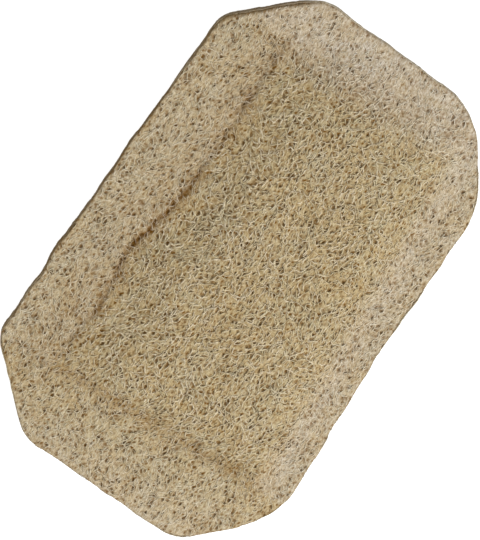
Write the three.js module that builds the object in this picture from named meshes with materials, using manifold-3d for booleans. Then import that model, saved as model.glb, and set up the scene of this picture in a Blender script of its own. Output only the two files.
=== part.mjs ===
// A natural loofah pad: the dried fibre skeleton of one gourd, pressed to an octagon with a thin,
// dense rim round a thicker, springy middle. Top and underside are a raised net of fibres.
// Millimetres, +Z up. The origin lies under the middle of the pad, on the surface that it rests on.
import * as THREE from 'three';
import { mergeVertices } from 'three/addons/utils/BufferGeometryUtils.js';
import Module from 'manifold-3d';

// Outline of the pressed rim, anticlockwise from the front right, with the rounding of each corner.
// The fifth point lies in the middle of the back side, which bends in there a little.
const OUTLINE_CORNERS = [
  { x: 50.5, y: -47.0, rounding: 4 },
  { x: 72.0, y: -26.0, rounding: 6 },
  { x: 75.5, y: 27.0, rounding: 5 },
  { x: 54.5, y: 48.0, rounding: 11 },
  { x: -0.5, y: 45.0, rounding: 12 },
  { x: -50.0, y: 45.5, rounding: 9 },
  { x: -72.5, y: 28.5, rounding: 11 },
  { x: -75.0, y: -23.0, rounding: 6 },
  { x: -56.5, y: -43.0, rounding: 3 },
];
const ROUNDING_STEPS = 5;
// The long front side bows outwards by this much at its middle.
const FRONT_BOW = 0.5;
const BOW_STEPS = 6;

// Heights of the pressed rim and of the middle above it.
const RIM_THICKNESS = 4.5;
const MIDDLE_RISE = 4.4;
const MIDDLE_CROWN = 2.0;

// The raised middle: where the foot of its slope lies on each side, and how far the slope runs.
// The foot of the front slope wanders along the pad, so it is a line of a few points.
const FRONT_FOOT = [
  { x: -60, y: -25.3 },
  { x: -16, y: -25.6 },
  { x: -5, y: -27.0 },
  { x: 10, y: -30.4 },
  { x: 19, y: -29.3 },
  { x: 31, y: -28.9 },
  { x: 52, y: -31.5 },
];
const BACK_FOOT = { left: 35.0, right: 42.0 };
const LEFT_FOOT = -68.0;
const RIGHT_FOOT = 51.5;
const SLOPE_RUN = { front: 20, back: 14, left: 14, right: 14 };

// The front and right slopes start with a steep lip, which is this share of their height.
const LIP_SHARE = { front: 0.2, right: 0.12 };
const LIP_RUN = 1.5;

// The crown of the middle is highest half-way between these two lines.
const CROWN_FRONT = -28.2;
const CROWN_BACK = 35.0;

// The net of fibres: one pit in each mesh of the net, and crests between the pits.
const NET_PITCH = 4.4;
const RIM_PIT_DEPTH = 1.7;
const MIDDLE_PIT_DEPTH = 2.2;
const UNDERSIDE_PIT_DEPTH = 1.7;
const NET_JITTER = 0.27;
const CREST_UNEVENNESS = 0.35;
const NET_SEED = 20417;
// The points of the net lie on a lattice of triangles, in which every third point is a pit.
const POINTS_TO_A_PIT = 3;

// A small pressed spot in the middle of the underside has no pits, so the pad lies flat on it.
const FLAT_SPOT_RADIUS = 8;

// The net is made on a sheet larger than the pad by this margin, and then cut to the outline.
const SHEET_MARGIN = 6;
const CUTTER_BELOW = 2;
const CUTTER_HEIGHT = 20;

// Points closer together than this are one point of a closed body.
const WELD_DISTANCE = 1e-4;

const fibre = new THREE.MeshStandardMaterial({ color: 0xae9c7d, roughness: 0.9, metalness: 0 });

// A repeatable random number from 0 to 1: a counter whose bits are mixed twice.
const RANDOM_STEP = 0x6d2b79f5;
const RANDOM_RANGE = 2 ** 32;

function seededRandom(seed) {
  let state = seed >>> 0;
  return () => {
    state = (state + RANDOM_STEP) >>> 0;
    let mixed = Math.imul(state ^ (state >>> 15), state | 1);
    mixed ^= mixed + Math.imul(mixed ^ (mixed >>> 7), mixed | 61);
    return ((mixed ^ (mixed >>> 14)) >>> 0) / RANDOM_RANGE;
  };
}

// The rim's outline as a shape: straight sides with a rounded corner between them, and a bowed front.
function rimOutline() {
  const corners = OUTLINE_CORNERS.map((corner) => new THREE.Vector2(corner.x, corner.y));
  const outline = new THREE.Shape();
  corners.forEach((corner, index) => {
    const before = corners.at(index - 1);
    const after = corners[(index + 1) % corners.length];
    const rounding = OUTLINE_CORNERS[index].rounding;
    const start = before.clone().sub(corner).setLength(rounding).add(corner);
    const end = after.clone().sub(corner).setLength(rounding).add(corner);
    if (index === 0) {
      outline.moveTo(start.x, start.y);
    } else {
      outline.lineTo(start.x, start.y);
    }
    addRounding(outline, start, corner, end);
  });
  addBow(outline, outline.getPoints()[0]);
  return outline;
}

// The front side, from the outline's last point to its first, bowed towards its outer side.
function addBow(outline, end) {
  const start = outline.currentPoint.clone();
  const along = end.clone().sub(start);
  const outward = new THREE.Vector2(along.y, -along.x).normalize();
  for (let step = 1; step < BOW_STEPS; step += 1) {
    const t = step / BOW_STEPS;
    const point = start.clone().addScaledVector(along, t);
    point.addScaledVector(outward, FRONT_BOW * 4 * t * (1 - t));
    outline.lineTo(point.x, point.y);
  }
}

// A rounded corner as a quadratic curve, cut into a few straight steps.
function addRounding(outline, start, corner, end) {
  const curve = new THREE.QuadraticBezierCurve(start, corner, end);
  for (const point of curve.getPoints(ROUNDING_STEPS).slice(1)) {
    outline.lineTo(point.x, point.y);
  }
}

// Where the foot of the front slope lies, so far along the pad.
function frontFoot(x) {
  const last = FRONT_FOOT.length - 1;
  const next = FRONT_FOOT.findIndex((point) => point.x > x);
  if (next === 0) return FRONT_FOOT[0].y;
  if (next < 0) return FRONT_FOOT[last].y;
  const from = FRONT_FOOT[next - 1];
  const to = FRONT_FOOT[next];
  return THREE.MathUtils.mapLinear(x, from.x, to.x, from.y, to.y);
}

// A slope that starts with a steep lip and goes on as a long swell.
function lipAndSwell(inwards, lip, run) {
  const steep = THREE.MathUtils.smoothstep(inwards, 0, LIP_RUN);
  return THREE.MathUtils.lerp(THREE.MathUtils.smoothstep(inwards, 0, run), steep, lip);
}

// How far up the slope a point is: 0 on the rim, 1 on the raised middle.
function middleShare(x, y) {
  const back = THREE.MathUtils.mapLinear(x, LEFT_FOOT, RIGHT_FOOT, BACK_FOOT.left, BACK_FOOT.right);
  return (
    lipAndSwell(y - frontFoot(x), LIP_SHARE.front, SLOPE_RUN.front) *
    lipAndSwell(RIGHT_FOOT - x, LIP_SHARE.right, SLOPE_RUN.right) *
    THREE.MathUtils.smoothstep(back - y, 0, SLOPE_RUN.back) *
    THREE.MathUtils.smoothstep(x - LEFT_FOOT, 0, SLOPE_RUN.left)
  );
}

// Height of the pad's top, without its net: the rim, and the crowned middle above it.
function topHeight(x, y) {
  const u = (2 * x - LEFT_FOOT - RIGHT_FOOT) / (RIGHT_FOOT - LEFT_FOOT);
  const v = (2 * y - CROWN_FRONT - CROWN_BACK) / (CROWN_BACK - CROWN_FRONT);
  const crown = MIDDLE_CROWN * Math.max(0, 1 - u * u) * Math.max(0, 1 - v * v);
  return RIM_THICKNESS + middleShare(x, y) * (MIDDLE_RISE + crown);
}

// A slab with a net on both faces: six crests of its lattice ring each pit, as the fibres ring each
// mesh of the net.
function nettedSlab(halfLength, halfWidth) {
  const random = seededRandom(NET_SEED);
  const spacing = NET_PITCH / Math.sqrt(3);
  const rowStep = (spacing * Math.sqrt(3)) / 2;
  const columns = Math.ceil((2 * halfLength) / spacing);
  const rows = Math.ceil((2 * halfWidth) / rowStep);
  const jitter = () => (2 * random() - 1) * NET_JITTER * spacing;
  const top = [];
  const underside = [];
  for (let row = 0; row <= rows; row += 1) {
    for (let column = 0; column <= columns; column += 1) {
      const x = (column + (row % 2) / 2) * spacing - halfLength;
      const y = row * rowStep - halfWidth;
      const isPit = (column - Math.floor(row / 2) + 2 * row) % POINTS_TO_A_PIT === 0;
      top.push(topPoint(x + jitter(), y + jitter(), isPit, random()));
      underside.push(undersidePoint(x + jitter(), y + jitter(), isPit, random()));
    }
  }
  return closedSlab(top, underside, rows, columns);
}

// A point of the upper face: crests are a little uneven, and pits are deeper on the raised middle.
function topPoint(x, y, isPit, chance) {
  const pitDepth = THREE.MathUtils.lerp(RIM_PIT_DEPTH, MIDDLE_PIT_DEPTH, middleShare(x, y));
  const drop = isPit ? pitDepth : CREST_UNEVENNESS * chance;
  return [x, y, topHeight(x, y) - drop];
}

// A point of the underside: all crests reach the surface that the pad lies on.
function undersidePoint(x, y, isPit, chance) {
  const onFlatSpot = Math.hypot(x, y) < FLAT_SPOT_RADIUS;
  const depth = UNDERSIDE_PIT_DEPTH * (1 - CREST_UNEVENNESS * chance);
  return [x, y, isPit && !onFlatSpot ? depth : 0];
}

// Joins two sheets of lattice points into one closed body.
function closedSlab(top, underside, rows, columns) {
  const width = columns + 1;
  const lower = top.length;
  const triangles = [];
  const addBoth = (a, b, c) => {
    triangles.push(a, b, c);
    triangles.push(lower + a, lower + c, lower + b);
  };
  for (let row = 0; row < rows; row += 1) {
    for (let column = 0; column < columns; column += 1) {
      const a = row * width + column;
      const b = a + 1;
      const c = a + width;
      const d = c + 1;
      if (row % 2 === 0) {
        addBoth(a, b, c);
        addBoth(b, d, c);
      } else {
        addBoth(a, b, d);
        addBoth(a, d, c);
      }
    }
  }
  const edge = sheetEdge(rows, columns);
  edge.forEach((from, index) => {
    const to = edge[(index + 1) % edge.length];
    triangles.push(from, lower + from, to);
    triangles.push(to, lower + from, lower + to);
  });
  const geometry = new THREE.BufferGeometry();
  geometry.setAttribute('position', new THREE.Float32BufferAttribute([...top, ...underside].flat(), 3));
  geometry.setIndex(triangles);
  return geometry;
}

// The lattice points round the edge of a sheet, anticlockwise seen from above.
function sheetEdge(rows, columns) {
  const width = columns + 1;
  const edge = [];
  for (let column = 0; column < columns; column += 1) {
    edge.push(column);
  }
  for (let row = 0; row < rows; row += 1) {
    edge.push(row * width + columns);
  }
  for (let column = columns; column > 0; column -= 1) {
    edge.push(rows * width + column);
  }
  for (let row = rows; row > 0; row -= 1) {
    edge.push(row * width);
  }
  return edge;
}

// A closed geometry as a solid that can be cut.
function toSolid(wasm, geometry) {
  const merged = geometry.clone();
  merged.deleteAttribute('normal');
  merged.deleteAttribute('uv');
  const welded = mergeVertices(merged, WELD_DISTANCE);
  return new wasm.Manifold(
    new wasm.Mesh({
      numProp: 3,
      vertProperties: new Float32Array(welded.attributes.position.array),
      triVerts: new Uint32Array(welded.index.array),
    }),
  );
}

// A cut solid as a geometry again.
function toGeometry(solid) {
  const mesh = solid.getMesh();
  const geometry = new THREE.BufferGeometry();
  geometry.setAttribute('position', new THREE.BufferAttribute(mesh.vertProperties, 3));
  geometry.setIndex(new THREE.BufferAttribute(mesh.triVerts, 1));
  geometry.computeVertexNormals();
  return geometry;
}

// The pad: the netted slab, cut to the rim's outline and centred over the origin.
function loofahPad(wasm) {
  const outline = rimOutline();
  const box = new THREE.Box2().setFromPoints(outline.getPoints());
  const halfSize = box.getSize(new THREE.Vector2()).divideScalar(2).addScalar(SHEET_MARGIN);
  const cutter = new THREE.ExtrudeGeometry(outline, { depth: CUTTER_HEIGHT, bevelEnabled: false });
  cutter.translate(0, 0, -CUTTER_BELOW);
  const slab = toSolid(wasm, nettedSlab(halfSize.x, halfSize.y));
  const geometry = toGeometry(slab.intersect(toSolid(wasm, cutter)));
  const centre = box.getCenter(new THREE.Vector2());
  geometry.translate(-centre.x, -centre.y, 0);
  const pad = new THREE.Mesh(geometry, fibre);
  pad.name = 'loofah_pad';
  return pad;
}

const wasm = await Module();
wasm.setup();

const sponge = new THREE.Group();
sponge.add(loofahPad(wasm));

export default sponge;
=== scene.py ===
# %% [markdown]
# # A pressed loofah pad
# A loofah is the dried net of fibres from the inside of a gourd. This one was pressed to an octagon,
# with a thin dense rim round a thicker, springy middle. Seen from a step away it is a pale felt with
# brown pores in it. Seen closely the felt is all fibre: strands that dip in and out of each other.
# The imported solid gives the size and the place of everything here, so it is loaded first.

# %% Load the frame
import math

import bpy
import numpy as np
from mathutils import Matrix, Vector
from mathutils.kdtree import KDTree


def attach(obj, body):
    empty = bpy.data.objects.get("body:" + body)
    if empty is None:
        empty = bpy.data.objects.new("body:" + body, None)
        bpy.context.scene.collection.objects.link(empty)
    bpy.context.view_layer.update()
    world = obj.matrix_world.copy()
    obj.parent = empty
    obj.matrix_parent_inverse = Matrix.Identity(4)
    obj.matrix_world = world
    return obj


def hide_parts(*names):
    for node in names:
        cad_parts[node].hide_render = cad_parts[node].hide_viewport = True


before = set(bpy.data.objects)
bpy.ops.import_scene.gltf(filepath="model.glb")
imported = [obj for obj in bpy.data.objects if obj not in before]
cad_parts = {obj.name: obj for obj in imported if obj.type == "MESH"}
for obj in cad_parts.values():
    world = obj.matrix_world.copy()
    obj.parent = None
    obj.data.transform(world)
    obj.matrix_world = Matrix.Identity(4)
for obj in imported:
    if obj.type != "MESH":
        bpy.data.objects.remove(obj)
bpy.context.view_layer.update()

MM = 0.001
pad_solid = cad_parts["loofah_pad"]

# %% [markdown]
# ## Camera
# The pad was photographed from nearly overhead, from the side of its front edge, with the camera held
# upside down to the pad. A long lens keeps the far side as large as the near one. The camera comes first,
# because everything after it is judged through it.

# %% Camera
CAMERA_AZIMUTH = math.radians(-47.2)
CAMERA_ELEVATION = math.radians(75)
CAMERA_DISTANCE = 0.596
CAMERA_TARGET = Vector((-0.0006, -0.0009, 0.003))
PICTURE_UP = Vector((-0.838, -0.544, 0))
PICTURE_HEIGHT = 540
PIXEL_ON_PAD = 0.274 * MM


def place_camera():
    """A camera that looks at the pad's middle, turned so that PICTURE_UP points up in the picture."""
    camera = bpy.data.objects.new("camera", bpy.data.cameras.new("camera"))
    bpy.context.collection.objects.link(camera)
    away = Vector((
        math.sin(CAMERA_AZIMUTH) * math.cos(CAMERA_ELEVATION),
        -math.cos(CAMERA_AZIMUTH) * math.cos(CAMERA_ELEVATION),
        math.sin(CAMERA_ELEVATION),
    ))
    right = PICTURE_UP.cross(away).normalized()
    up = away.cross(right)
    turn = Matrix((right, up, away)).transposed().to_4x4()
    camera.matrix_world = Matrix.Translation(CAMERA_TARGET + away * CAMERA_DISTANCE) @ turn
    picture_on_pad = PICTURE_HEIGHT * PIXEL_ON_PAD
    camera.data.lens = camera.data.sensor_width * CAMERA_DISTANCE / picture_on_pad
    bpy.context.scene.camera = camera
    return camera


camera = place_camera()
print("The lens is", round(camera.data.lens), "mm long")

# %% [markdown]
# ## The pad's form
# Every fibre needs to know where the pad's edge is and how high its surface lies. The edge is read off
# the solid's upright wall. The surface is worked out by a formula, because a fibre has to lie on the
# smooth form under the net and not in the solid's own coarse pits.

# %% The outline, read off the solid's wall
OUTLINE_STEP = 1.0 * MM
UPRIGHT = 0.01


def wall_outline(solid):
    """Points at even steps round the solid's upright wall, anticlockwise."""
    mesh = solid.data
    upright = [face for face in mesh.polygons if abs(face.normal.z) < UPRIGHT]
    used = sorted({index for face in upright for index in face.vertices})
    places = np.array([mesh.vertices[index].co[:2] for index in used])
    places = places[np.argsort(np.arctan2(places[:, 1], places[:, 0]))]
    closed = np.vstack([places, places[:1]])
    along = np.r_[0, np.cumsum(np.linalg.norm(np.diff(closed, axis=0), axis=1))]
    even = np.linspace(0, along[-1], round(along[-1] / OUTLINE_STEP), endpoint=False)
    return np.stack([np.interp(even, along, closed[:, axis]) for axis in (0, 1)], axis=1)


def make_tree(places):
    """A tree that finds the nearest of some flat places."""
    tree = KDTree(len(places))
    for index, place in enumerate(places):
        tree.insert((*place, 0), index)
    tree.balance()
    return tree


def outward_of(outline):
    """The outward direction at each point of an outline."""
    run = np.roll(outline, -1, axis=0) - np.roll(outline, 1, axis=0)
    outward = np.stack([run[:, 1], -run[:, 0]], axis=1)
    return outward / np.linalg.norm(outward, axis=1, keepdims=True)


WAVE_RANGE = (0.7, 1.4)


def ripple(places, wavelength, seed, waves=16):
    """A smooth random field, mostly between -1.5 and 1.5, whose bumps are about a wavelength apart."""
    rng = np.random.default_rng(seed)
    heading = rng.uniform(0, 2 * math.pi, waves)
    waving = 2 * math.pi / wavelength * rng.uniform(*WAVE_RANGE, waves)
    phase = rng.uniform(0, 2 * math.pi, waves)
    swing = places @ (np.stack([np.cos(heading), np.sin(heading)]) * waving)
    return np.cos(swing + phase).sum(axis=-1) * math.sqrt(2 / waves)


LONG_WOBBLE = 0.14 * MM
LONG_WOBBLE_SPACING = 15 * MM
SHORT_WOBBLE = 0.03 * MM
SHORT_WOBBLE_SPACING = 5 * MM
even_outline = wall_outline(pad_solid)
wobble = LONG_WOBBLE * ripple(even_outline, LONG_WOBBLE_SPACING, seed=1)
wobble = wobble + SHORT_WOBBLE * ripple(even_outline, SHORT_WOBBLE_SPACING, seed=2)
OUTLINE = even_outline + outward_of(even_outline) * wobble[:, None]
OUTWARD = outward_of(OUTLINE)
EDGE_TREE = make_tree(OUTLINE)


def edge_distance(places):
    """How far each place lies inside the pad's edge."""
    nearest = np.array([EDGE_TREE.find((*place, 0))[1] for place in places])
    return ((OUTLINE[nearest] - places) * OUTWARD[nearest]).sum(axis=1)


print("The edge has", len(OUTLINE), "points")

# %% [markdown]
# The middle rises from the rim on four sides. At the front and on the right its slope starts with a
# small lip and goes on as a long swell, and elsewhere it is one soft curve. A product of four slopes is
# smooth everywhere, which takes much pushing of points on a modelled cage.

# %% The height of the surface
RIM_THICKNESS = 4.5 * MM
MIDDLE_RISE = 4.4 * MM
MIDDLE_CROWN = 2.0 * MM
FRONT_FOOT_X = np.array([-60, -36, -16, -6, 5, 11, 17, 24, 32, 40, 52]) * MM
FRONT_FOOT_Y = np.array([
    -25.3, -25.3, -25.8, -26.8, -29.0, -30.6, -29.8, -28.9, -29.0, -30.5, -31.5,
]) * MM
BACK_FOOT_LEFT = 35.0 * MM
BACK_FOOT_RIGHT = 42.0 * MM
LEFT_FOOT = -68.0 * MM
RIGHT_FOOT = 51.5 * MM
LIP_RUN = 2.0 * MM
FRONT_LIP = 0.15
FRONT_SWELL = 20.0 * MM
RIGHT_LIP = 0.05
RIGHT_SWELL = 14.0 * MM
BACK_RUN = 14.0 * MM
LEFT_RUN = 14.0 * MM
LUMP_HEIGHT = 0.12 * MM
LUMP_SPACING = 13.0 * MM
EDGE_ROUNDING = 0.6 * MM
EDGE_DROP = 0.2 * MM
FOOT_SHARPNESS = 3
FOOT_OFFSET = 0.3


def smooth_step(share):
    """0 below 0, 1 above 1, and an easy curve between."""
    share = np.clip(share, 0, 1)
    return share * share * (3 - 2 * share)


def front_foot(x):
    """Where the front slope of the middle starts."""
    return np.interp(x, FRONT_FOOT_X, FRONT_FOOT_Y)


def back_foot(x):
    """Where the soft back slope of the middle ends."""
    along = (x - LEFT_FOOT) / (RIGHT_FOOT - LEFT_FOOT)
    return BACK_FOOT_LEFT + along * (BACK_FOOT_RIGHT - BACK_FOOT_LEFT)


def lip_and_swell(inwards, lip, swell):
    """A slope that starts with a steep lip and goes on as a long swell."""
    return lip * smooth_step(inwards / LIP_RUN) + (1 - lip) * smooth_step(inwards / swell)


def middle_share(places):
    """0 on the pressed rim and 1 on the raised middle."""
    x, y = places[..., 0], places[..., 1]
    front = lip_and_swell(y - front_foot(x), FRONT_LIP, FRONT_SWELL)
    right = lip_and_swell(RIGHT_FOOT - x, RIGHT_LIP, RIGHT_SWELL)
    back = smooth_step((back_foot(x) - y) / BACK_RUN)
    left = smooth_step((x - LEFT_FOOT) / LEFT_RUN)
    return front * back * left * right


def on_middle(places):
    """1 on the raised middle and 0 on the rim, with a short fade at the foot of the slopes."""
    return smooth_step(FOOT_SHARPNESS * middle_share(places) - FOOT_OFFSET)


def on_rim(places):
    """1 on the pressed rim and 0 on the raised middle."""
    return 1 - on_middle(places)


def edge_drop(places):
    """How far the surface falls where the pressed edge is rounded."""
    near = np.clip(1 - edge_distance(places) / EDGE_ROUNDING, 0, 1)
    return EDGE_DROP * near ** 2


def top_height(places):
    """Height of the pad's upper surface, without its strands."""
    x, y = places[:, 0], places[:, 1]
    u = (2 * x - LEFT_FOOT - RIGHT_FOOT) / (RIGHT_FOOT - LEFT_FOOT)
    v = (2 * y - FRONT_FOOT_Y.mean() - BACK_FOOT_LEFT) / (BACK_FOOT_LEFT - FRONT_FOOT_Y.mean())
    crown = MIDDLE_CROWN * np.clip(1 - u * u, 0, None) * np.clip(1 - v * v, 0, None)
    lumps = LUMP_HEIGHT * ripple(places, LUMP_SPACING, seed=5)
    return RIM_THICKNESS + middle_share(places) * (MIDDLE_RISE + crown + lumps) - edge_drop(places)


def under_height(places):
    """Height of the pad's lower surface, without its strands."""
    return edge_drop(places)


print("The middle stands", round(float(top_height(np.zeros((1, 2)))[0]) / MM, 1), "mm high")

# %% [markdown]
# ## Where the pad was pressed
# The press was hardest on the back and both ends of the rim. There the fibres are pale and fine, with
# small pores. The front of the rim is looser. Along the foot of the middle, brown shade is painted in,
# and in the middle of it, at the front, runs a narrow crease, dented and painted dark as shade. Each is
# a value between 0 and 1 at any place, worked out from the pad's own form. A stretch is given by its two
# ends and the length over which it fades.

# %% Where the pad was pressed
FRONT_EASE = 0.62
FRONT_EASE_RUN = 2 * MM
FRONT_EASED = (-61 * MM, 52 * MM, 7 * MM)
RIGHT_EASE = 0.85
RIGHT_EASE_RUN = 4 * MM
RIGHT_EASE_END = 95 * MM
RIGHT_EASE_FADE = 45 * MM
BACK_EASE = 0.42
BACK_EASE_RUN = 8 * MM
LEFT_LOOSE_INSET = 3.5 * MM
LEFT_LOOSE_RUN = 13 * MM
RIGHT_LOOSE_START = 0.3
RIGHT_LOOSE_RUN = 3 * MM
BACK_LOOSE_RUN = 9 * MM
FRONT_LOOSE_RUN = 1.5 * MM


def between(values, low, high, fade):
    """1 from low to high, and fading to 0 beyond."""
    return smooth_step((values - low) / fade + 0.5) * smooth_step((high - values) / fade + 0.5)


def pressed_share(places):
    """1 where the rim was pressed hardest, and 0 on the middle, which was left loose."""
    x, y = places[:, 0], places[:, 1]
    loose = smooth_step((x - LEFT_FOOT - LEFT_LOOSE_INSET) / LEFT_LOOSE_RUN)
    loose = loose * smooth_step((RIGHT_FOOT - x) / RIGHT_LOOSE_RUN + RIGHT_LOOSE_START)
    loose = loose * smooth_step((back_foot(x) - y) / BACK_LOOSE_RUN)
    loose = loose * smooth_step((y - front_foot(x)) / FRONT_LOOSE_RUN)
    front = smooth_step((front_foot(x) - y) / FRONT_EASE_RUN + 1) * between(x, *FRONT_EASED)
    right = smooth_step((x - RIGHT_FOOT) / RIGHT_EASE_RUN + 1)
    right = right * smooth_step((RIGHT_EASE_END - x) / RIGHT_EASE_FADE)
    behind = smooth_step((y - back_foot(x)) / BACK_EASE_RUN + 0.5)
    eased = np.maximum(np.maximum(FRONT_EASE * front, RIGHT_EASE * right), BACK_EASE * behind)
    return (1 - loose) * (1 - eased)


END_AND_MIDDLE = np.array([(LEFT_FOOT, 0), (0, 0)])
print("Pressing at the left end and on the middle:", pressed_share(END_AND_MIDDLE).round(2))

# %% Painted shade along the foot of the middle
SHADE_WIDTH = 2.3 * MM
SHADE_INSET = 1.2 * MM
RIM_SHADE = 0.6
RIM_SHADE_INSET = -3.0 * MM
RIM_SHADE_WIDTH = 2.5 * SHADE_WIDTH
FRONT_SHADED = (-60 * MM, 56 * MM, 6 * MM)
RIGHT_SHADE = 1.35
RIGHT_SHADE_INSET = -2.5 * MM
RIGHT_SHADED = (-31 * MM, 37 * MM, 8 * MM)
LEFT_SHADE = 0.4
LEFT_SHADE_INSET = 10 * MM
LEFT_SHADE_WIDTH = 2 * SHADE_WIDTH
LEFT_SHADED = (-29 * MM, 8 * MM, 10 * MM)


def bell(values, middle, width):
    """1 at the middle, and falling to 0 on both sides of it."""
    return np.exp(-(((values - middle) / width) ** 2))


def painted_foot_shade(places):
    """How much shade is painted at a place, in a brown band along the foot of the middle."""
    x, y = places[:, 0], places[:, 1]
    inwards = y - front_foot(x)
    front = bell(inwards, SHADE_INSET, SHADE_WIDTH)
    front = np.maximum(front, RIM_SHADE * bell(inwards, RIM_SHADE_INSET, RIM_SHADE_WIDTH))
    front = front * between(x, *FRONT_SHADED)
    right = RIGHT_SHADE * bell(x - RIGHT_FOOT, RIGHT_SHADE_INSET, SHADE_WIDTH)
    right = right * between(y, *RIGHT_SHADED)
    left = LEFT_SHADE * bell(x - LEFT_FOOT, LEFT_SHADE_INSET, LEFT_SHADE_WIDTH)
    left = left * between(y, *LEFT_SHADED)
    return np.maximum(np.maximum(front, right), left)


print("Shade at the left end and on the middle:", painted_foot_shade(END_AND_MIDDLE).round(2))

# %% The crease at the front
CREASE_WIDTH = 1.1 * MM
CREASE_WIDENS_AT = -5 * MM
CREASE_WIDENING = 20 * MM
CREASE_INSET = 0.3 * MM
CREASE_HEART = 4.0 * MM
CREASE_SPREAD = 17.0 * MM
CREASE_FAINT = 0.12
CREASE_STRONG = 0.55
CREASE_SIDES = 0.6
CREASE_CORE = 0.6
CORE_WIDTH = 0.5
CREASED = (-58 * MM, 42 * MM, 8 * MM)
LONG_WANDER = 0.35 * MM
LONG_WANDER_SPACING = 7 * MM
SHORT_WANDER = 0.15 * MM
SHORT_WANDER_SPACING = 2.0 * MM
LONG_UNEVENNESS = 0.12
LONG_UNEVENNESS_SPACING = 9 * MM
SHORT_UNEVENNESS = 0.1
SHORT_UNEVENNESS_SPACING = 2.2 * MM


def crease_share(places):
    """How deep in the crease a place lies, in dent and painted shade: most near its heart, uneven
    elsewhere.
    """
    x, y = places[:, 0], places[:, 1]
    line = np.stack([x, np.zeros(len(x))], axis=1)
    wander = LONG_WANDER * ripple(line, LONG_WANDER_SPACING, seed=61)
    wander = wander + SHORT_WANDER * ripple(places, SHORT_WANDER_SPACING, seed=64)
    width = CREASE_WIDTH * (1 + smooth_step((CREASE_WIDENS_AT - x) / CREASE_WIDENING))
    across = (y - front_foot(x) - CREASE_INSET - wander) / width
    uneven = SHORT_UNEVENNESS * ripple(places, SHORT_UNEVENNESS_SPACING, seed=62)
    uneven = uneven + LONG_UNEVENNESS * ripple(line, LONG_UNEVENNESS_SPACING, seed=63)
    heart = bell(x, CREASE_HEART, CREASE_SPREAD)
    strength = np.clip(CREASE_FAINT + CREASE_STRONG * heart + uneven, 0, 1)
    groove = CREASE_SIDES * bell(across, 0, 1) + CREASE_CORE * bell(across, 0, CORE_WIDTH)
    return strength * between(x, *CREASED) * groove


def no_share(places):
    """The underside has neither painted shade nor crease."""
    return np.zeros(len(places))


HEART = np.array([(CREASE_HEART, front_foot(CREASE_HEART))])
print("Depth of the crease at its heart:", crease_share(HEART).round(2))

# %% The painted shade of the cut side
WALL_PALE = 0.4
WALL_FRONT = -20 * MM
WALL_FRONT_FADE = 8 * MM
WALL_RIGHT = 58 * MM
WALL_RIGHT_FADE = 12 * MM
CORNER_LEFT = -50 * MM
CORNER_LEFT_FADE = 6 * MM
CORNER_FRONT = -14 * MM
CORNER_FRONT_FADE = 14 * MM


def wall_painted_shade(places):
    """Shade painted on the cut side: most at the front, away from the lamp, and round its left corner."""
    x, y = places[:, 0], places[:, 1]
    front = smooth_step((WALL_FRONT - y) / WALL_FRONT_FADE)
    front = front * smooth_step((WALL_RIGHT - x) / WALL_RIGHT_FADE)
    return WALL_PALE + (1 - WALL_PALE) * front


def front_left_corner(places):
    """1 along the edge at the front left corner, where the painted shade of the side reaches furthest up.
    """
    x, y = places[:, 0], places[:, 1]
    left = smooth_step((CORNER_LEFT - x) / CORNER_LEFT_FADE)
    return left * smooth_step((CORNER_FRONT - y) / CORNER_FRONT_FADE)


print("Palest place of the cut side:", wall_painted_shade(OUTLINE).min().round(2))

# %% [markdown]
# ## Pores
# The fibres leave a small pore in each mesh of the net, about two millimetres from the next. The pores
# are set out first, on a jittered lattice. The felt is dented at each of them, and each strand is bent
# sideways round those it meets. On the rim the press closed most of the pores, and the rest stand out.

# %% A lattice and the grain
GRAIN_SWING = 0.3
GRAIN_SPACING = 28 * MM


def jittered_lattice(spacing, jitter, rng):
    """Places all over the pad on a lattice of triangles, each moved a little at random."""
    half = OUTLINE.max(axis=0) + spacing
    row_step = spacing * math.sqrt(3) / 2
    rows = np.arange(-half[1], half[1], row_step)
    columns = np.arange(-half[0], half[0], spacing)
    x, y = np.meshgrid(columns, rows)
    x[1::2] += spacing / 2
    lattice = np.stack([x.ravel(), y.ravel()], axis=1)
    lattice += rng.uniform(-jitter, jitter, lattice.shape) * spacing
    return lattice[edge_distance(lattice) > 0]


def grain(places):
    """The way that the fibres run: along the pad, wandering a little to either side."""
    return GRAIN_SWING * ripple(places, GRAIN_SPACING, seed=31)


print("The grain at the left end and on the middle:", grain(END_AND_MIDDLE).round(2))

# %% Pores
PORE_SPACING = 1.6 * MM
PORE_JITTER = 0.3
RIM_PORE_RADIUS = (0.22 * MM, 0.48 * MM)
MIDDLE_PORE_RADIUS = (0.22 * MM, 0.48 * MM)
PORE_STRETCH = (1.0, 1.9)
PORE_PATCH = 9.0 * MM
PATCH_SWING = 0.075
PORE_TURN = 0.6
PORE_CHANCE = (2.6, 1.9)
CLOSED_BELOW = 0.52
CLOSING = 0.25
CLOSED_SHARE = 0.8
PRESS_CLOSES = 0.2
SHADE_CLOSES = 0.15
FAINTEST_PORE = 0.05
ROW_PORES = 22
ROW_START = -55.0 * MM
ROW_STEP = 4.0 * MM
ROW_INSET = -41.4 * MM
ROW_RADIUS = 0.5 * MM
ROW_STRENGTH = (0.6, 1)
ROW_STRAY_ALONG = 0.2 * ROW_STEP
ROW_STRAY_ACROSS = 0.1 * ROW_STEP
PORES_MET = 3
PORE_REACH = 0.8 * MM
PORE_STEEPNESS = 2.5
HALO_REACH = 2.2
PORE_CLEARANCE = 1.1


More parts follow.
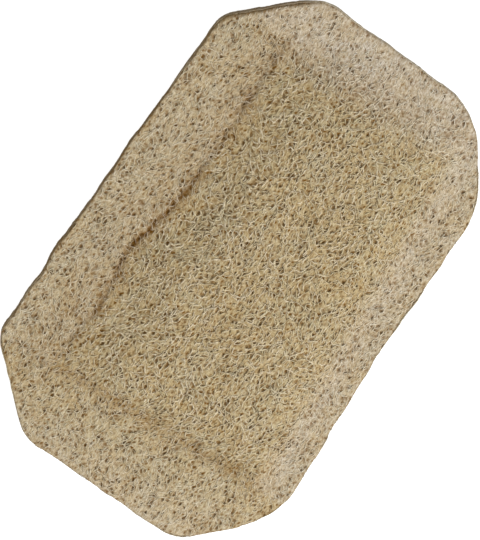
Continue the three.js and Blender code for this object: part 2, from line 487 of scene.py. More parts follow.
class Pores:
    """The pores of one face, with a tree that finds those near a place."""

    def __init__(self, seed, crease):
        rng = np.random.default_rng(seed)
        self.places = jittered_lattice(PORE_SPACING, PORE_JITTER, rng)
        count = len(self.places)
        pressed = pressed_share(self.places)
        rim_radii = rng.uniform(*RIM_PORE_RADIUS, count)
        middle_radii = rng.uniform(*MIDDLE_PORE_RADIUS, count)
        self.radii = middle_radii + (rim_radii - middle_radii) * pressed
        self.stretch = rng.uniform(*PORE_STRETCH, count)
        turned = grain(self.places) + rng.normal(0, PORE_TURN, count)
        self.headings = np.stack([np.cos(turned), np.sin(turned)], axis=1)
        chance = rng.beta(*PORE_CHANCE, count) + PATCH_SWING * ripple(self.places, PORE_PATCH, seed + 1)
        open_still = smooth_step((chance - CLOSED_BELOW) / CLOSING)
        chance = chance + CLOSED_SHARE * on_rim(self.places) * (open_still - chance)
        eased = (1 - PRESS_CLOSES * pressed) * (1 - SHADE_CLOSES * painted_foot_shade(self.places))
        self.strength = np.clip(chance * eased + crease(self.places), FAINTEST_PORE, 1)
        self.tree = make_tree(self.places)

    def set_row(self, seed):
        """Turns the pores nearest to a line along the front edge into a row of larger ones."""
        rng = np.random.default_rng(seed)
        line = ROW_START + ROW_STEP * np.arange(ROW_PORES) + rng.normal(0, ROW_STRAY_ALONG, ROW_PORES)
        for x in line:
            place = (x, ROW_INSET + rng.normal(0, ROW_STRAY_ACROSS))
            index = np.argmin(((self.places - place) ** 2).sum(axis=1))
            self.places[index] = place
            self.radii[index] = ROW_RADIUS
            self.strength[index] = rng.uniform(*ROW_STRENGTH)
        self.tree = make_tree(self.places)

    def near(self, places):
        """The few pores nearest to each place."""
        found = [[hit[1] for hit in self.tree.find_n((*place, 0), PORES_MET)] for place in places]
        return np.array(found)

    def dents(self, places):
        """How deep in a pore each place lies, up to 1 at its bottom, and how near one it lies."""
        near = self.near(places)
        offset = places[:, None] - self.places[near]
        headings = self.headings[near]
        along = (offset * headings).sum(axis=2) / self.stretch[near]
        across = offset[..., 1] * headings[..., 0] - offset[..., 0] * headings[..., 1]
        reach = np.hypot(along, across) / self.radii[near]
        depth = (self.strength[near] * np.exp(-reach ** PORE_STEEPNESS)).max(axis=1)
        halo = (self.strength[near] * np.exp(-(reach / HALO_REACH) ** 2)).max(axis=1)
        return depth, halo

    def bend_round(self, paths, half_width):
        """Moves the points of strands sideways, so that they pass beside the pores."""
        near = self.near(paths.reshape(-1, 2)).reshape(*paths.shape[:2], PORES_MET)
        heading = np.gradient(paths, axis=1)
        heading /= np.linalg.norm(heading, axis=2, keepdims=True)
        side = np.stack([-heading[..., 1], heading[..., 0]], axis=2)
        offset = paths[:, :, None] - self.places[near]
        beside = (offset * side[:, :, None]).sum(axis=3)
        ahead = (offset * heading[:, :, None]).sum(axis=3)
        clear = PORE_CLEARANCE * self.radii[near] * self.strength[near] + half_width
        push = np.sign(beside) * np.clip(clear - np.abs(beside), 0, None)
        push *= np.exp(-((ahead / PORE_REACH) ** 2))
        return paths + side * push.sum(axis=2, keepdims=True)


top_pores = Pores(seed=21, crease=crease_share)
top_pores.set_row(seed=23)
under_pores = Pores(seed=22, crease=no_share)
print("Pores on top:", len(top_pores.places), "and underneath:", len(under_pores.places))

# %% [markdown]
# ## The felt
# The pressed fibres lie so close that they make a felt, and the pores are dents in it. It is modelled as
# two closed slabs, one for each face, that meet inside the pad. For each the outline is filled, extruded
# to a slab and remeshed to even faces, and then its face is moved to the pad's form, pores and all. A
# displaced texture would be quicker, but here each pore has a known place, which the strands go round.

# %% A slab in the pad's outline
FELT_INSET = 0.12 * MM
FELT_SLAB = 2.0 * MM
NEAR_BOTTOM = 0.1 * FELT_SLAB


def coordinates(mesh):
    """The places of a mesh's vertices, as an array."""
    flat = np.empty(len(mesh.vertices) * 3)
    mesh.vertices.foreach_get("co", flat)
    return flat.reshape(-1, 3)


def face_outward():
    """Turns all the faces of the active piece outward."""
    bpy.ops.object.mode_set(mode="EDIT")
    bpy.ops.mesh.select_all(action="SELECT")
    bpy.ops.mesh.normals_make_consistent(inside=False)
    bpy.ops.object.mode_set(mode="OBJECT")


def make_slab(name, face):
    """A flat closed slab in the pad's outline. Its upper face and sides have even faces of one size."""
    bpy.ops.object.select_all(action="DESELECT")
    bpy.ops.mesh.primitive_circle_add(vertices=len(OUTLINE), radius=1, fill_type="NGON")
    slab = bpy.context.object
    slab.name = name
    inset = OUTLINE - OUTWARD * FELT_INSET
    slab.data.vertices.foreach_set("co", np.c_[inset, np.zeros(len(inset))].ravel())
    bpy.ops.object.mode_set(mode="EDIT")
    bpy.ops.mesh.select_all(action="SELECT")
    bpy.ops.mesh.extrude_region_move(TRANSFORM_OT_translate={"value": (0, 0, FELT_SLAB)})
    face_outward()
    remesh = slab.modifiers.new("even faces", "REMESH")
    remesh.mode = "VOXEL"
    remesh.voxel_size = face
    bpy.ops.object.modifier_apply(modifier=remesh.name)
    return slab


def fill_hidden_face(slab):
    """Replaces the many faces of the slab's hidden lower side by a single one."""
    floor_level = coordinates(slab.data)[:, 2].min()
    centres = np.empty(len(slab.data.polygons) * 3)
    slab.data.polygons.foreach_get("center", centres)
    low = centres.reshape(-1, 3)[:, 2] < floor_level + NEAR_BOTTOM
    bpy.ops.object.mode_set(mode="EDIT")
    bpy.ops.mesh.select_all(action="DESELECT")
    bpy.ops.object.mode_set(mode="OBJECT")
    slab.data.polygons.foreach_set("select", low)
    bpy.ops.object.mode_set(mode="EDIT")
    bpy.ops.mesh.select_mode(type="FACE")
    bpy.ops.mesh.delete(type="FACE")
    bpy.ops.mesh.select_mode(type="EDGE")
    bpy.ops.mesh.select_non_manifold()
    bpy.ops.mesh.edge_face_add()
    face_outward()


# %% The felt's form and its painted shade
FELT_MIDDLE = 2.2 * MM
FELT_OVERLAP = 0.1 * MM
FELT_DEPTH = 0.3 * MM
PORE_DEPTH = 0.8 * MM
CREASE_DEPTH = 0.3 * MM
STREAK_HEIGHT = 0.05 * MM
STREAK_STRETCH = 3.0
STREAK_SPACING = 1.1 * MM
STREAK_WAVES = 40
PORE_HALO_SHADE = 0.12
FOOT_SHADE_PAINT = 0.22
UNDER_STRAND_SHADE = 0.32
WALL_TURN = 0.5 * MM
CORNER_TURN = 1.2
SIDE_SHARPNESS = 6
TURN_START = 1.4


def streaks(places, seed):
    """A fine random grain along the way that the fibres run."""
    turned = grain(places)
    along = places[:, 0] * np.cos(turned) + places[:, 1] * np.sin(turned)
    across = places[:, 1] * np.cos(turned) - places[:, 0] * np.sin(turned)
    stretched = np.stack([along / STREAK_STRETCH, across], axis=1)
    return ripple(stretched, STREAK_SPACING, seed, waves=STREAK_WAVES)


def mark_points(mesh, name, values):
    """Stores a value for each vertex."""
    attribute = mesh.attributes.new(name, "FLOAT", "POINT")
    attribute.data.foreach_set("value", values)


def shape_felt(slab, surface, up, pores, shade, crease, seed):
    """Moves a slab to one face of the pad, and marks how much shade is painted on each place."""
    points = coordinates(slab.data)
    places = points[:, :2]
    low, high = points[:, 2].min(), points[:, 2].max()
    share = (points[:, 2] - low) / (high - low)
    pits, halo = pores.dents(places)
    groove = crease(places)
    rough = STREAK_HEIGHT * streaks(places, seed)
    sunk = FELT_DEPTH + PORE_DEPTH * pits + CREASE_DEPTH * groove + rough
    outer = surface(places) - up * sunk
    inner = FELT_MIDDLE - up * FELT_OVERLAP
    points[:, 2] = inner + share * (outer - inner)
    slab.data.vertices.foreach_set("co", points.ravel())
    slab.data.update()
    # Painted shade in the pores, the crease and the foot of the middle, and some all over, under the
    # strands.
    painted_shade = np.maximum(np.maximum(pits, groove), PORE_HALO_SHADE * halo) + FOOT_SHADE_PAINT * shade(places)
    painted_shade = UNDER_STRAND_SHADE + (1 - UNDER_STRAND_SHADE) * painted_shade
    mark_points(slab.data, "painted_shade", np.clip(painted_shade * share, 0, 1))
    # Painted shade on the cut side and over the rounded edge above it.
    turn = WALL_TURN * (1 + CORNER_TURN * front_left_corner(places))
    over_edge = smooth_step(TURN_START - edge_distance(places) / turn)
    on_side = np.maximum(smooth_step((1 - share) * SIDE_SHARPNESS), over_edge)
    mark_points(slab.data, "wall", wall_painted_shade(places) * on_side)
    mark_points(slab.data, "press", pressed_share(places))
    return share


# %% The felt's map
MAP_STRIP = 0.66
MAP_STRIP_WIDTH = 0.1
MAP_STRIP_LENGTH = 0.95
MAP_HIDDEN = 0.8
MAP_HIDDEN_SIZE = 0.25
HALF_TURN = 0.5
NEAR_TOP = 0.99
QUAD_SIDES = 4


def map_felt(mesh, share):
    """Gives a felt its map: its face laid flat, its side as a strip below that, the hidden face last."""
    corners = np.empty(len(mesh.loops), np.int32)
    mesh.loops.foreach_get("vertex_index", corners)
    sides = np.empty(len(mesh.polygons), np.int32)
    mesh.polygons.foreach_get("loop_total", sides)
    first = np.cumsum(sides) - sides
    places = coordinates(mesh)[:, :2]
    flat = (places - places.min(axis=0)) / np.ptp(places[:, 0])
    around = (np.arctan2(places[:, 1], places[:, 0]) / (2 * math.pi) + HALF_TURN)[corners]
    wide = np.maximum.reduceat(around, first) - np.minimum.reduceat(around, first) > HALF_TURN
    around = around + (np.repeat(wide, sides) & (around < HALF_TURN))
    strip = np.c_[MAP_STRIP_LENGTH * around, MAP_STRIP + MAP_STRIP_WIDTH * share[corners]]
    on_side = np.repeat(np.minimum.reduceat(share[corners], first) < NEAR_TOP, sides)
    layout = np.where(on_side[:, None], strip, flat[corners])
    hidden = np.repeat(sides > QUAD_SIDES, sides)
    layout[hidden] = MAP_HIDDEN_SIZE * flat[corners][hidden] + (0, MAP_HIDDEN)
    mesh.uv_layers.new(name="OFBake").uv.foreach_set("vector", layout.ravel())


# %% Both felts
TOP_FACE = 0.43 * MM
UNDER_FACE = 0.62 * MM


def make_felt(name, face, surface, up, pores, shade, crease, seed):
    """One face of the pad, as a closed body of felt."""
    slab = make_slab(name, face)
    fill_hidden_face(slab)
    share = shape_felt(slab, surface, up, pores, shade, crease, seed)
    if up < 0:
        face_outward()
    map_felt(slab.data, share)
    bpy.ops.object.shade_smooth()
    triangles = sum(len(polygon.vertices) - 2 for polygon in slab.data.polygons)
    print(name, "has", triangles, "triangles")
    return slab


felt_top = make_felt("felt_top", TOP_FACE, top_height, 1, top_pores, painted_foot_shade, crease_share, seed=71)
felt_under = make_felt(
    "felt_under", UNDER_FACE, under_height, -1, under_pores, no_share, no_share, seed=72,
)

# %% [markdown]
# ## Strands
# A strand is a curve with a three-sided bevel, converted to a mesh: the fewest faces that still catch
# the light as a round fibre. Hair would be quicker to comb, but only faces can be handed on. Strands
# wander in wavy lines along the grain. They dip into the felt and come out of it again, so only short
# stretches of each are seen.

# %% How strands lie
STRAND_WAVES = ((2.4 * MM, 0.35), (6.0 * MM, 0.4))
STRAND_STRETCH = (0.75, 1.2)
STRAND_TURNING = 35
SWING_RANGE = (0.5, 1.5)


def wavy_paths(starts, headings, length, step, rng):
    """Wavy lines through their starts. All have as many points, so they are one array."""
    count = len(starts)
    points = round(length / step) + 1
    along = (np.arange(points) - points // 2) * step
    stretch = rng.uniform(*STRAND_STRETCH, (count, 1))
    turning = headings[:, None] + rng.normal(0, STRAND_TURNING, (count, 1)) * along
    for wavelength, swing in STRAND_WAVES:
        phase = rng.uniform(0, 2 * math.pi, (count, 1))
        size = swing * rng.uniform(*SWING_RANGE, (count, 1))
        turning = turning + size * np.sin(2 * math.pi * along / wavelength + phase)
    steps = np.stack([np.cos(turning), np.sin(turning)], axis=2) * step * stretch[:, :, None]
    paths = np.cumsum(steps, axis=1)
    return starts[:, None] + paths - paths[:, points // 2][:, None]


def inside_run(inside):
    """First and last point of the stretch about a strand's middle that lies inside the pad."""
    middle = len(inside) // 2
    if not inside[middle]:
        return 0, 0
    before = np.flatnonzero(~inside[:middle])
    after = np.flatnonzero(~inside[middle:])
    first = before[-1] + 1 if len(before) else 0
    last = middle + after[0] if len(after) else len(inside)
    return first, last


# %% Strands as a mesh
PROFILE_SIDES = 3
FLANK_SHADE = 0.6
TIP_SHARE = np.array([0.0, 0.75])
WELD_DISTANCE = 1e-7
CELL_MARGIN = 0.1
CELL_FILL = 0.8


def select_only(piece):
    """Makes a piece the only selected object, and the active one."""
    bpy.ops.object.select_all(action="DESELECT")
    piece.select_set(True)
    bpy.context.view_layer.objects.active = piece


def strand_profile():
    """The three-sided bevel, one metre in radius, which each strand scales to its own thickness."""
    profile = bpy.data.curves.new("strand_profile", "CURVE")
    ring = profile.splines.new("POLY")
    ring.points.add(PROFILE_SIDES - 1)
    for index, point in enumerate(ring.points):
        angle = 2 * math.pi * index / PROFILE_SIDES
        point.co = (math.cos(angle), math.sin(angle), 0, 1)
    ring.use_cyclic_u = True
    holder = bpy.data.objects.new("strand_profile", profile)
    bpy.context.collection.objects.link(holder)
    return holder


def tapered(radius, points):
    """A strand's radius at each point: it comes to a closed tip at both ends."""
    radii = np.full(points, radius)
    radii[:len(TIP_SHARE)] *= TIP_SHARE
    radii[-len(TIP_SHARE):] *= TIP_SHARE[::-1]
    return radii


def strand_mesh(name, strands, up=0, brown="painted_shade"):
    """One mesh of many strands. A strand is its points, its radius, its tone and its painted shade.

    up says which way the strands' outer side faces, if it is up or down, and brown which of the two
    painted shades of the finish the strands carry: that of the pores and crease, or that of the wall.
    browns of the finish the strands have: the stain of the pores or the brown of the wall.
    """
    profile = strand_profile()
    curve = bpy.data.curves.new(name, "CURVE")
    curve.dimensions = "3D"
    curve.twist_mode = "Z_UP"
    curve.bevel_mode = "OBJECT"
    curve.bevel_object = profile
    for points, radius, _, _ in strands:
        spline = curve.splines.new("POLY")
        spline.points.add(len(points) - 1)
        spline.points.foreach_set("co", np.c_[points, np.ones(len(points))].ravel())
        spline.points.foreach_set("radius", tapered(radius, len(points)))
    piece = bpy.data.objects.new(name, curve)
    bpy.context.collection.objects.link(piece)
    select_only(piece)
    bpy.ops.object.convert(target="MESH")
    bpy.data.objects.remove(profile)
    mark_strands(piece.data, strands, up, brown)
    bpy.ops.object.mode_set(mode="EDIT")
    bpy.ops.mesh.select_all(action="SELECT")
    bpy.ops.mesh.remove_doubles(threshold=WELD_DISTANCE)
    bpy.ops.mesh.normals_make_consistent(inside=False)
    bpy.ops.object.mode_set(mode="OBJECT")
    bpy.ops.object.shade_smooth()
    return piece


def mark_strands(mesh, strands, up, brown):
    """Stores each strand's tone and painted shade on its vertices, and gives it its own patch on the map.
    """
    counts = np.array([len(points) for points, *_ in strands])
    tones = np.array([tone for _, _, tone, _ in strands])
    stains = np.repeat(np.concatenate([painted_shade for *_, painted_shade in strands]), PROFILE_SIDES)
    middles = np.repeat(np.concatenate([points[:, 2] for points, *_ in strands]), PROFILE_SIDES)
    widths = np.repeat([radius for _, radius, *_ in strands], counts * PROFILE_SIDES)
    # Painted shade on the lower flank of each strand.
    below = np.clip(up * (middles - coordinates(mesh)[:, 2]) / widths, 0, 1)
    mark_points(mesh, "tone", np.repeat(tones, counts * PROFILE_SIDES))
    mark_points(mesh, brown, np.clip(stains + FLANK_SHADE * below, 0, 1))
    mark_points(mesh, "press", pressed_share(coordinates(mesh)[:, :2]))
    strand = np.repeat(np.arange(len(strands)), counts * PROFILE_SIDES)
    corners = np.empty(len(mesh.loops), np.int32)
    mesh.loops.foreach_get("vertex_index", corners)
    own = np.empty(len(mesh.loops) * 2)
    mesh.uv_layers[0].uv.foreach_get("vector", own)
    columns = math.ceil(math.sqrt(len(strands)))
    cell = np.stack([strand[corners] % columns, strand[corners] // columns], axis=1)
    layout = (cell + CELL_MARGIN + CELL_FILL * own.reshape(-1, 2)) / columns
    mesh.uv_layers[0].name = "OFBake"
    mesh.uv_layers[0].uv.foreach_set("vector", layout.ravel())


# %% One layer of strands
DIP_SHADE = 0.5
PRESSED_DOWN = 0.07 * MM
START_JITTER = 0.5
STRAND_INSET = 0.45 * MM
WEAVE_RHYTHM = (1.6 * MM, 3.6 * MM)
THICKNESS_RANGE = (0.65, 1.35)
FEWEST_POINTS = 5


def lay_strands(name, seed, spacing, length, step, radius, rise, weave, spread, face, wanted):
    """A layer of strands over one face of the pad.

    The strands rise this far out of the surface and weave this far down into it. wanted says how
    likely a strand is at a place, and spread how far the strands stray from the grain.
    """
    surface, up, pores, shade, crease = face
    rng = np.random.default_rng(seed)
    starts = jittered_lattice(spacing, START_JITTER, rng)
    starts = starts[rng.random(len(starts)) < wanted(starts)]
    headings = grain(starts) + rng.normal(0, spread, len(starts))
    paths = wavy_paths(starts, headings, length, step, rng)
    paths = pores.bend_round(paths, radius)
    flat = paths.reshape(-1, 2)
    inside = (edge_distance(flat) > STRAND_INSET).reshape(paths.shape[:2])
    height = surface(flat).reshape(paths.shape[:2])
    groove = crease(flat).reshape(paths.shape[:2])
    # Painted shade from the crease and along the foot of the middle.
    brown = groove + FOOT_SHADE_PAINT * shade(flat).reshape(paths.shape[:2])
    flattened = PRESSED_DOWN * pressed_share(flat).reshape(paths.shape[:2])
    along = np.arange(paths.shape[1]) * step
    phase = rng.uniform(0, 2 * math.pi, (len(paths), 1))
    rhythm = rng.uniform(*WEAVE_RHYTHM, (len(paths), 1))
    waves = weave * (1 + np.cos(2 * math.pi * along / rhythm + phase)) / 2
    sunk = waves - rise + flattened + CREASE_DEPTH * groove
    tones = rng.random(len(paths))
    thickness = radius * rng.uniform(*THICKNESS_RANGE, len(paths))
    strands = []
    for index, path in enumerate(paths):
        first, last = inside_run(inside[index])
        if last - first < FEWEST_POINTS:
            continue
        level = height[index] - up * (sunk[index] + thickness[index])
        points = np.c_[path, level][first:last]
        # Painted shade, darker where the strand dips into the felt.
        painted_shade = np.clip(DIP_SHADE * waves[index] / weave + brown[index], 0, 1)[first:last]
        strands.append((points, thickness[index], tones[index], painted_shade))
    piece = strand_mesh(name, strands, up)
    print(name, "has", len(strands), "strands and", 2 * len(piece.data.polygons), "triangles")
    return piece


# %% [markdown]
# ## The layers
# The rim is pressed hard, so its strands barely stand out of the felt. On the middle they are looser.

# %% Top and bottom strands
TOP = (top_height, 1, top_pores, painted_foot_shade, crease_share)
UNDER = (under_height, -1, under_pores, no_share, no_share)


def everywhere(places):
    """Strands all over the pad."""
    return np.ones(len(places))


rim_net = lay_strands(
    "rim_net", seed=42, spacing=1.65 * MM, length=7 * MM, step=0.7 * MM, radius=0.165 * MM,
    rise=0.06 * MM, weave=0.5 * MM, spread=0.55, face=TOP, wanted=on_rim,
)
middle_net = lay_strands(
    "middle_net", seed=45, spacing=1.9 * MM, length=8 * MM, step=0.7 * MM, radius=0.21 * MM,
    rise=0.1 * MM, weave=0.55 * MM, spread=0.65, face=TOP, wanted=on_middle,
)
under_net = lay_strands(
    "under_net", seed=44, spacing=2.2 * MM, length=9 * MM, step=0.9 * MM, radius=0.18 * MM,
    rise=0.0 * MM, weave=0.42 * MM, spread=0.8, face=UNDER, wanted=everywhere,
)

# %% [markdown]
# Nobody combs a loofah, so a few thin strands of the middle have come loose and stand off the others.

# %% Loose strands on the middle
loose_strands = lay_strands(
    "loose_strands", seed=46, spacing=5.5 * MM, length=7 * MM, step=0.7 * MM, radius=0.13 * MM,
    rise=0.3 * MM, weave=0.5 * MM, spread=1.0, face=TOP, wanted=on_middle,
)

# %% [markdown]
# ## The edge
# The press cut the pad's edge, so its side shows strands that run along it and short cut ends. They are
# made as the other strands are, but laid along the outline and not along the grain.

# %% The edge
EDGE_ROWS = 9
EDGE_LOW = 0.8 * MM
EDGE_HIGH = 4.2 * MM
EDGE_SHADE = (0.75, 1.0)
EDGE_TONE = 0.3
EDGE_POINTS = 12
EDGE_POINTS_SPREAD = 5
EDGE_WANDER = 0.1 * MM
EDGE_INSET = 0.22 * MM
EDGE_STRAY = 0.05 * MM
EDGE_RADIUS = (0.12, 0.22)
CUT_ENDS = 1400
CUT_POINTS = 4
CUT_LEAN = 0.7
CUT_RISE = 0.3 * MM
CUT_ROOT = 0.6 * MM
CUT_TIP = (-0.06, 0.2)
CUT_RADIUS = (0.09, 0.17)


def along_edge(values, along):
    """What is known at the outline's points, at places between them. along counts the points."""
    count = len(OUTLINE)
    loop = np.arange(count + 1)
    closed = np.vstack([values, values[:1]])
    return np.stack([np.interp(along % count, loop, side) for side in closed.T], axis=-1)


def edge_place(along, inset):
    """Places along the edge, so far inside it."""
    return along_edge(OUTLINE, along) - along_edge(OUTWARD, along) * np.asarray(inset)[..., None]


def edge_painted_shade(places, rng):
    """Painted shade of a strand of the edge at each point: nearly as much as on the wall behind it."""
    return rng.uniform(*EDGE_SHADE) * wall_painted_shade(places)


def long_edge_strands(rng):
    """Strands that run along the side of the pad."""
    strands = []
    for _ in range(round(EDGE_ROWS * len(OUTLINE) / EDGE_POINTS)):
        start = rng.uniform(0, len(OUTLINE))
        points = rng.integers(EDGE_POINTS - EDGE_POINTS_SPREAD, EDGE_POINTS + EDGE_POINTS_SPREAD + 1)
        level = rng.uniform(EDGE_LOW, EDGE_HIGH) + np.cumsum(rng.normal(0, EDGE_WANDER, points))
        level = np.clip(level, EDGE_LOW, EDGE_HIGH)
        inset = EDGE_INSET + rng.normal(0, EDGE_STRAY, points)
        places = edge_place(start + np.arange(points), inset)
        brown = edge_painted_shade(places, rng)
        radius = rng.uniform(*EDGE_RADIUS) * MM
        strands.append((np.c_[places, level], radius, EDGE_TONE * rng.random(), brown))
    return strands


def cut_ends(rng):
    """Short ends of strands that stick out of the side of the pad."""
    strands = []
    for _ in range(CUT_ENDS):
        along = rng.uniform(0, len(OUTLINE)) + np.linspace(0, rng.normal(0, CUT_LEAN), CUT_POINTS)
        inset = np.linspace(CUT_ROOT, rng.uniform(*CUT_TIP) * MM, CUT_POINTS)
        level = rng.uniform(EDGE_LOW, EDGE_HIGH) + np.linspace(0, rng.normal(0, CUT_RISE), CUT_POINTS)
        places = edge_place(along, inset)
        brown = edge_painted_shade(places, rng)
        radius = rng.uniform(*CUT_RADIUS) * MM
        strands.append((np.c_[places, level], radius, EDGE_TONE * rng.random(), brown))
    return strands


edge_rng = np.random.default_rng(47)
# The edge strands carry the painted shade of the cut side.
edge_net = strand_mesh("edge_net", long_edge_strands(edge_rng) + cut_ends(edge_rng), brown="wall")
print("edge_net has", 2 * len(edge_net.data.polygons), "triangles")

# %% [markdown]
# ## Finish
# One group of nodes gives the colour of the dry fibre to the felt and to the strands: patches of warm
# and grey straw, a fine grain along the pad, and shade painted in as brown in the pores and the crease,
# along the foot of the middle and on the cut side. The nodes work on the pieces' own coordinates and on
# the values stored on their points, so no picture is needed.

# %% Helpers for nodes
MIX_FACTOR, MIX_FIRST, MIX_SECOND = 0, 6, 7
MIX_RESULT = 2
RANGE_ENDS = ("From Min", "From Max", "To Min", "To Max")
CELL_RANDOMNESS = 0.8
PIT_EDGE = 0.3


def add_node(tree, kind, **settings):
    """A new node with some of its settings made."""
    node = tree.nodes.new(kind)
    for name, value in settings.items():
        setattr(node, name, value)
    return node


def feed(tree, socket, value):
    """Gives a socket its value, which is a plain one or another node's output."""
    if isinstance(value, bpy.types.NodeSocket):
        tree.links.new(value, socket)
    else:
        socket.default_value = value


def mix_colours(tree, factor, first, second, blend="MIX"):
    """Two colours, mixed."""
    node = add_node(tree, "ShaderNodeMix", data_type="RGBA", blend_type=blend)
    feed(tree, node.inputs[MIX_FACTOR], factor)
    feed(tree, node.inputs[MIX_FIRST], first)
    feed(tree, node.inputs[MIX_SECOND], second)
    return node.outputs[MIX_RESULT]


def multiply(tree, first, second):
    """Two values, multiplied."""
    node = add_node(tree, "ShaderNodeMath", operation="MULTIPLY")
    feed(tree, node.inputs[0], first)
    feed(tree, node.inputs[1], second)
    return node.outputs["Value"]


def noise(tree, vector, scale, detail):
    """A noise texture's value at a place."""
    node = add_node(tree, "ShaderNodeTexNoise")
    node.inputs["Scale"].default_value = scale
    node.inputs["Detail"].default_value = detail
    tree.links.new(vector, node.inputs["Vector"])
    return node.outputs["Fac"]


def spread_out(tree, value, low, high, to=(0.0, 1.0)):
    """A value from low to high, stretched to 0 to 1, or to another range."""
    node = add_node(tree, "ShaderNodeMapRange")
    for name, end in zip(RANGE_ENDS, (low, high, *to)):
        node.inputs[name].default_value = end
    tree.links.new(value, node.inputs["Value"])
    return node.outputs["Result"]


def cells(tree, vector, scale):
    """The distance from the middle of the nearest cell, and that cell's own chance."""
    node = add_node(tree, "ShaderNodeTexVoronoi", voronoi_dimensions="2D")
    node.inputs["Scale"].default_value = scale
    node.inputs["Randomness"].default_value = CELL_RANDOMNESS
    tree.links.new(vector, node.inputs["Vector"])
    chance = add_node(tree, "ShaderNodeSeparateColor")
    tree.links.new(node.outputs["Color"], chance.inputs["Color"])
    return node.outputs["Distance"], chance.outputs["Red"]


def painted_pits(tree, vector, scale, radius, rare):
    """1 in small pits painted as dots of shade, with no dent. The rarer they are, the fewer cells have
    one.
    """
    distance, chance = cells(tree, vector, scale)
    pit = spread_out(tree, distance, radius, PIT_EDGE * radius)
    return multiply(tree, pit, spread_out(tree, chance, rare, 1.0))


def scaled(tree, vector, scale, slant=0.0):
    """A vector, scaled along each axis. Slanted, a flat pattern also suits upright faces."""
    node = add_node(tree, "ShaderNodeMapping")
    node.inputs["Scale"].default_value = scale
    node.inputs["Rotation"].default_value = (slant, slant, 0)
    tree.links.new(vector, node.inputs["Vector"])
    return node.outputs["Vector"]


# %% The fibre's colour
PRESSED_WARM = (0.495, 0.446, 0.344, 1)
PRESSED_GREY = (0.485, 0.458, 0.38, 1)
MIDDLE_WARM = (0.447, 0.377, 0.225, 1)
MIDDLE_GREY = (0.44, 0.397, 0.26, 1)
# Painted shade: the colour of the shade painted in the pores, the crease and the foot of the middle.
PAINTED_SHADE_COLOUR = (0.145, 0.066, 0.009, 1)
# Painted shade of the small pits.
PIT_SHADE_COLOUR = (0.12, 0.053, 0.006, 1)
# Painted shade of the cut side.
SIDE_SHADE_COLOUR = (0.1, 0.064, 0.025, 1)
PALE_FIBRE = (0.57, 0.49, 0.37, 1)
PATCH_SCALE = 150
PATCH_RANGE = (0.36, 0.64)
SPOT_SCALE = 420
SPOT_RANGE = (0.35, 0.7)
SPOT_TINT = (0.98, 0.95, 0.87, 1)
FINE_SCALE = (900, 2200, 1500)
FINE_RANGE = (0.3, 0.7)
FINE_DARK = (0.68, 0.61, 0.5, 1)
FINE_PALE = (1.2, 1.25, 1.38, 1)
SPECKLE_SCALE = 3300
SPECKLE_RANGE = (0.25, 0.75)
SPECKLE_DARK = (0.76, 0.74, 0.7, 1)
SPECKLE_PALE = (1.2, 1.2, 1.2, 1)
PIT_SCALE = (0.8, 1.15, 1.15)
PIT_SLANT = math.radians(30)
PITTING_RANGE = (1.2, 0.65)
PRICK_SHARE = 0.6
ROUGHNESS_RANGE = (0.7, 0.95)


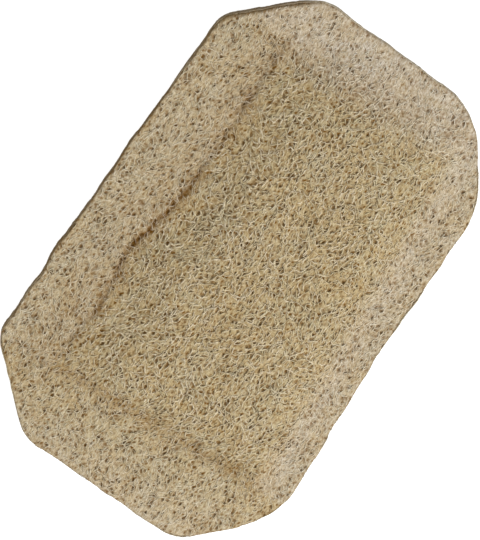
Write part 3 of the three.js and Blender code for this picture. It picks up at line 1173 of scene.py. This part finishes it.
def fibre_tint_group():
    """Colour, roughness and fine relief of dry fibre, with shade painted into the colour.

    The first input is the painted shade, 1 in pores and the crease; Press is 1 on the hard-pressed rim,
    Tone on the palest strands and Wall on the cut side, where shade is painted too. Pitting says how
    clearly the small painted pits show.
    """
    group = bpy.data.node_groups.new("fibre_tint", "ShaderNodeTree")
    for name in ("Painted_shade", "Press", "Tone", "Wall", "Pitting"):
        group.interface.new_socket(name, in_out="INPUT", socket_type="NodeSocketFloat")
    group.interface.new_socket("Color", in_out="OUTPUT", socket_type="NodeSocketColor")
    for name in ("Roughness", "Height"):
        group.interface.new_socket(name, in_out="OUTPUT", socket_type="NodeSocketFloat")
    given = add_node(group, "NodeGroupInput").outputs
    result = add_node(group, "NodeGroupOutput").inputs
    place = add_node(group, "ShaderNodeTexCoord").outputs["Object"]
    patches = spread_out(group, noise(group, place, PATCH_SCALE, detail=3.0), *PATCH_RANGE)
    spots = spread_out(group, noise(group, place, SPOT_SCALE, detail=2.0), *SPOT_RANGE)
    pressed = mix_colours(group, patches, PRESSED_WARM, PRESSED_GREY)
    middle = mix_colours(group, patches, MIDDLE_WARM, MIDDLE_GREY)
    base = mix_colours(group, given["Press"], middle, pressed)
    spotted = mix_colours(group, spots, base, SPOT_TINT, "MULTIPLY")
    # Mixes in the painted shade.
    shade_painted = mix_colours(group, given["Painted_shade"], spotted, PAINTED_SHADE_COLOUR)
    side_shade_painted = mix_colours(group, given["Wall"], shade_painted, SIDE_SHADE_COLOUR)
    fine = noise(group, scaled(group, place, FINE_SCALE), 1.0, detail=3.0)
    dark = mix_colours(group, 1.0, side_shade_painted, FINE_DARK, "MULTIPLY")
    pale = mix_colours(group, 1.0, side_shade_painted, FINE_PALE, "MULTIPLY")
    streaked = mix_colours(group, spread_out(group, fine, *FINE_RANGE), dark, pale)
    speckle = spread_out(group, noise(group, place, SPECKLE_SCALE, detail=1.0), *SPECKLE_RANGE)
    shade = mix_colours(group, speckle, SPECKLE_DARK, SPECKLE_PALE)
    speckled = mix_colours(group, 1.0, streaked, shade, "MULTIPLY")
    toned = mix_colours(group, given["Tone"], speckled, PALE_FIBRE)
    # Small pores with no dent, painted in as dots of shade.
    pit_place = scaled(group, place, PIT_SCALE, slant=PIT_SLANT)
    pits = painted_pits(group, pit_place, scale=930, radius=0.38, rare=0.25)
    pricks = painted_pits(group, pit_place, scale=1500, radius=0.42, rare=0.4)
    eased = spread_out(group, given["Press"], 0.0, 1.0, to=PITTING_RANGE)
    pitting = multiply(group, eased, given["Pitting"])
    pitted = mix_colours(group, multiply(group, pits, pitting), toned, PIT_SHADE_COLOUR)
    pricking = multiply(group, pitting, PRICK_SHARE)
    pricked = mix_colours(group, multiply(group, pricks, pricking), pitted, PIT_SHADE_COLOUR)
    group.links.new(pricked, result["Color"])
    group.links.new(fine, result["Height"])
    group.links.new(spread_out(group, fine, 0.0, 1.0, to=ROUGHNESS_RANGE), result["Roughness"])
    return group


FIBRE_TINT = fibre_tint_group()
print("The fibre's colour has", len(FIBRE_TINT.nodes), "nodes")

# %% The finish of felt and strands
SPECULAR = 0.05
RELIEF = 0.2 * MM


def read_attribute(tree, name):
    """The value stored under a name on the piece."""
    return add_node(tree, "ShaderNodeAttribute", attribute_name=name).outputs["Fac"]


def fibre_material(title, bump, paleness, pitting):
    """Dry fibre. Strands are paler than the felt, each by its own tone, and less pitted."""
    material = bpy.data.materials.new(title)
    material.use_nodes = True
    tree = material.node_tree
    shader = tree.nodes["Principled BSDF"]
    shader.inputs["Specular IOR Level"].default_value = SPECULAR
    tint = add_node(tree, "ShaderNodeGroup", node_tree=FIBRE_TINT)
    for name in ("painted_shade", "press", "wall"):
        tree.links.new(read_attribute(tree, name), tint.inputs[name.capitalize()])
    tree.links.new(multiply(tree, read_attribute(tree, "tone"), paleness), tint.inputs["Tone"])
    tint.inputs["Pitting"].default_value = pitting
    relief = add_node(tree, "ShaderNodeBump")
    relief.inputs["Strength"].default_value = bump
    relief.inputs["Distance"].default_value = RELIEF
    tree.links.new(tint.outputs["Height"], relief.inputs["Height"])
    tree.links.new(tint.outputs["Color"], shader.inputs["Base Color"])
    tree.links.new(tint.outputs["Roughness"], shader.inputs["Roughness"])
    tree.links.new(relief.outputs["Normal"], shader.inputs["Normal"])
    return material


felt_finish = fibre_material("felt_fibre", bump=0.6, paleness=0.0, pitting=1.0)
strand_finish = fibre_material("strand_fibre", bump=0.3, paleness=0.6, pitting=0.35)
felt_pieces = [felt_top, felt_under]
strand_pieces = [rim_net, middle_net, under_net, loose_strands, edge_net]
for piece in felt_pieces + strand_pieces:
    piece.data.materials.clear()
    piece.data.materials.append(felt_finish if piece in felt_pieces else strand_finish)
print("Finished:", [piece.name for piece in felt_pieces + strand_pieces])

# %% [markdown]
# ## Floor and light
# The pad was photographed on white, in light so even that it has almost no shadow. A plain floor that
# glows a little gives that ground, and a white sky lights the pad from all round. One broad lamp behind
# the pad leaves its front slope a little darker, which is what shows the form.

# %% Floor and light
WHITE = (1, 1, 1, 1)
FLOOR_SIZE = 6
FLOOR_LEVEL = -0.0003
FLOOR_GREY = (0.4, 0.4, 0.4, 1)
FLOOR_GLOW = 0.8
SKY_STRENGTH = 0.95
KEY_PLACE = Vector((0.07, 0.4, 0.6))
KEY_POWER = 4.9
KEY_SIZE = 0.4

bpy.ops.mesh.primitive_plane_add(size=FLOOR_SIZE, location=(0, 0, FLOOR_LEVEL))
floor = bpy.context.object
floor.name = "floor"
floor_white = bpy.data.materials.new("floor_white")
floor_white.use_nodes = True
floor_shader = floor_white.node_tree.nodes["Principled BSDF"]
floor_shader.inputs["Base Color"].default_value = FLOOR_GREY
floor_shader.inputs["Emission Color"].default_value = WHITE
floor_shader.inputs["Emission Strength"].default_value = FLOOR_GLOW
floor.data.materials.append(floor_white)

world = bpy.data.worlds.new("studio")
world.use_nodes = True
sky = world.node_tree.nodes["Background"]
sky.inputs["Color"].default_value = WHITE
sky.inputs["Strength"].default_value = SKY_STRENGTH
bpy.context.scene.world = world
bpy.context.scene.view_settings.view_transform = "Standard"

key_data = bpy.data.lights.new("key", "AREA")
key_data.energy = KEY_POWER
key_data.size = KEY_SIZE
key = bpy.data.objects.new("key", key_data)
key.location = KEY_PLACE
key.rotation_euler = (-KEY_PLACE).to_track_quat("-Z", "Y").to_euler()
bpy.context.collection.objects.link(key)
print("The lamp is", round(KEY_PLACE.length, 2), "m from the pad")

# %% [markdown]
# ## Hand over
# All pieces belong to the one body and stand in for the one solid.

# %% Hand over
for piece in felt_pieces + strand_pieces:
    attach(piece, "root")
    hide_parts("loofah_pad")
